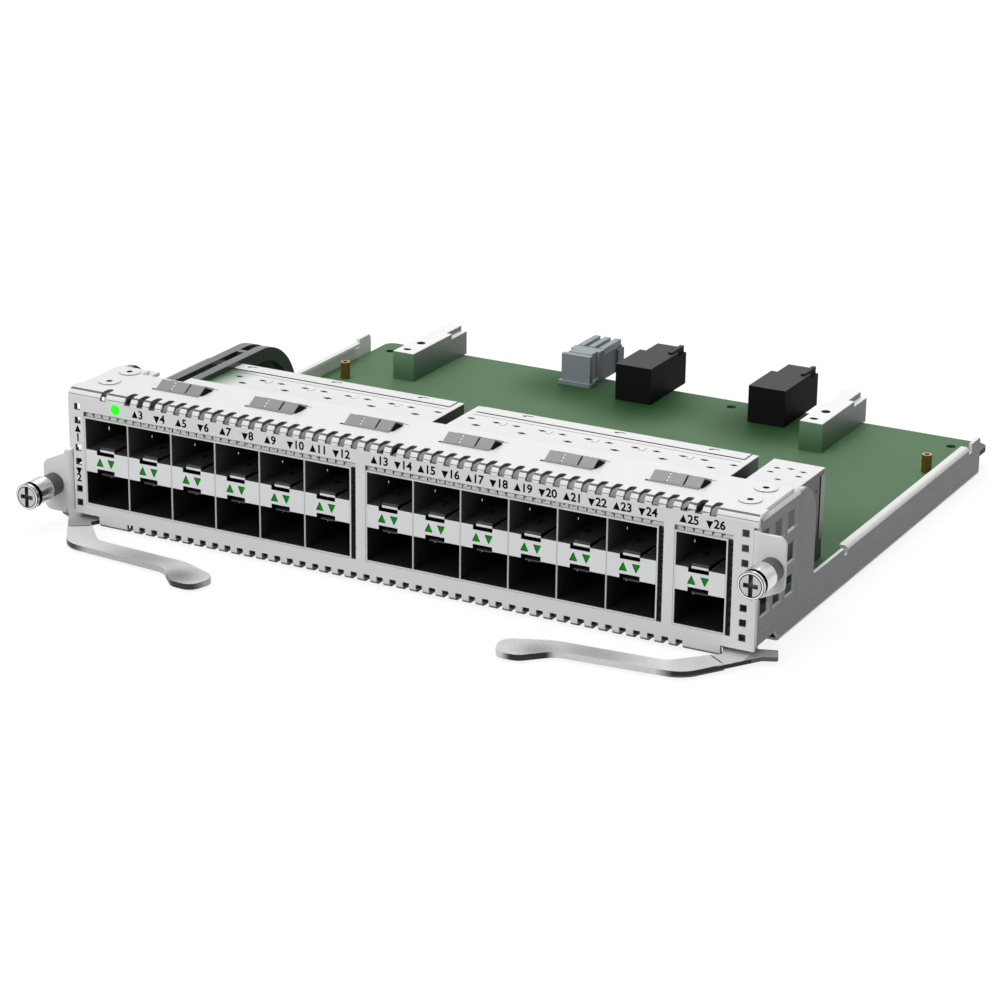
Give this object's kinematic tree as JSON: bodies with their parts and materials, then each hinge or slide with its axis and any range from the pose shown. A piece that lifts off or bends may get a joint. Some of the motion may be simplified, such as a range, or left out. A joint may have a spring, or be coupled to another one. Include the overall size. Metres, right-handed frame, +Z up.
{
  "type": "switch line card",
  "caption": "Plug-in switch line card: folded steel tray with a slotted front panel, stacked port cages, circuit board, captive thumbscrews and ejector levers.",
  "frame": {"origin": "midpoint of the card's bottom edge at the front panel's outer face, on the slide path", "axes": "+X to the right seen from the front, +Y back into the chassis along the slide path, +Z up from the underside"},
  "size_m": [0.2256, 0.2173, 0.0416],
  "materials": {
    "panel_steel": "bright satin plated steel sheet",
    "tray_steel": "satin grey plated steel sheet",
    "cage_steel": "thin stamped plated steel",
    "spring_steel": "bright spring strip",
    "lever_steel": "satin plated plate",
    "knob_metal": "turned and polished",
    "screw_steel": "machined steel",
    "ferrule_dark": "dark grey finish",
    "board_green": "green solder mask on glass laminate",
    "black_plastic": "moulded, matt black",
    "grey_plastic": "moulded, matt light grey",
    "guide_metal": "cast, satin",
    "green_clear": "clear moulded, tinted by the green lamps",
    "pipe_clear": "clear moulded",
    "brass": "turned"
  },
  "bodies": {
    "card": {"front_panel": "panel_steel", "tray": "tray_steel", "circuit_board": "board_green", "board_standoffs": "screw_steel", "board_screws": "screw_steel", "brass_posts": "brass", "panel_rivets": "screw_steel", "status_lens": "green_clear", "status_light_pipe": "pipe_clear", "left_guide_block": "guide_metal", "right_guide_block": "guide_metal", "power_connector": "grey_plastic", "left_data_connector": "black_plastic", "right_data_connector": "black_plastic", "left_cage": "cage_steel", "left_cage_dividers": "cage_steel", "left_port_separators": "cage_steel", "left_light_pipes": "green_clear", "left_port_connectors": "black_plastic", "left_gasket": "spring_steel", "middle_cage": "cage_steel", "middle_cage_dividers": "cage_steel", "middle_port_separators": "cage_steel", "middle_light_pipes": "green_clear", "middle_port_connectors": "black_plastic", "middle_gasket": "spring_steel", "right_cage": "cage_steel", "right_port_separators": "cage_steel", "right_light_pipes": "green_clear", "right_port_connectors": "black_plastic", "right_gasket": "spring_steel", "spring_clip_1": "spring_steel", "spring_clip_2": "spring_steel", "spring_clip_3": "spring_steel", "spring_clip_4": "spring_steel", "spring_clip_5": "spring_steel", "spring_clip_6": "spring_steel", "left_ferrule": "ferrule_dark", "left_ejector_bracket": "tray_steel", "left_ejector_pin": "screw_steel", "right_ferrule": "ferrule_dark", "right_ejector_bracket": "tray_steel", "right_ejector_pin": "screw_steel"},
    "left_screw_carrier": {"left_retaining_ring": "screw_steel"},
    "left_thumbscrew": {"left_thumbscrew_knob": "knob_metal", "left_captive_screw": "screw_steel"},
    "left_ejector_lever": {"left_ejector": "lever_steel"},
    "right_screw_carrier": {"right_retaining_ring": "screw_steel"},
    "right_thumbscrew": {"right_thumbscrew_knob": "knob_metal", "right_captive_screw": "screw_steel"},
    "right_ejector_lever": {"right_ejector": "lever_steel"}
  },
  "joints": [
    {"name": "left_screw_travel", "type": "slide", "parent": "card", "child": "left_screw_carrier", "axis": [0, 1, 0], "range_m": [0, 0.0035]},
    {"name": "left_screw_turn", "type": "hinge", "parent": "left_screw_carrier", "child": "left_thumbscrew", "pos_m": [-0.1091, 0, 0.01115], "axis": [0, 1, 0], "continuous": true},
    {"name": "left_ejector_hinge", "type": "hinge", "parent": "card", "child": "left_ejector_lever", "pos_m": [-0.099, 0.0052, 0.0012], "axis": [0, 0, -1], "range_deg": [0, 45]},
    {"name": "right_screw_travel", "type": "slide", "parent": "card", "child": "right_screw_carrier", "axis": [0, 1, 0], "range_m": [0, 0.0035]},
    {"name": "right_screw_turn", "type": "hinge", "parent": "right_screw_carrier", "child": "right_thumbscrew", "pos_m": [0.1091, 0, 0.0271], "axis": [0, 1, 0], "continuous": true},
    {"name": "right_ejector_hinge", "type": "hinge", "parent": "card", "child": "right_ejector_lever", "pos_m": [0.099, 0.0052, 0.0012], "axis": [0, 0, 1], "range_deg": [0, 45]}
  ]
}
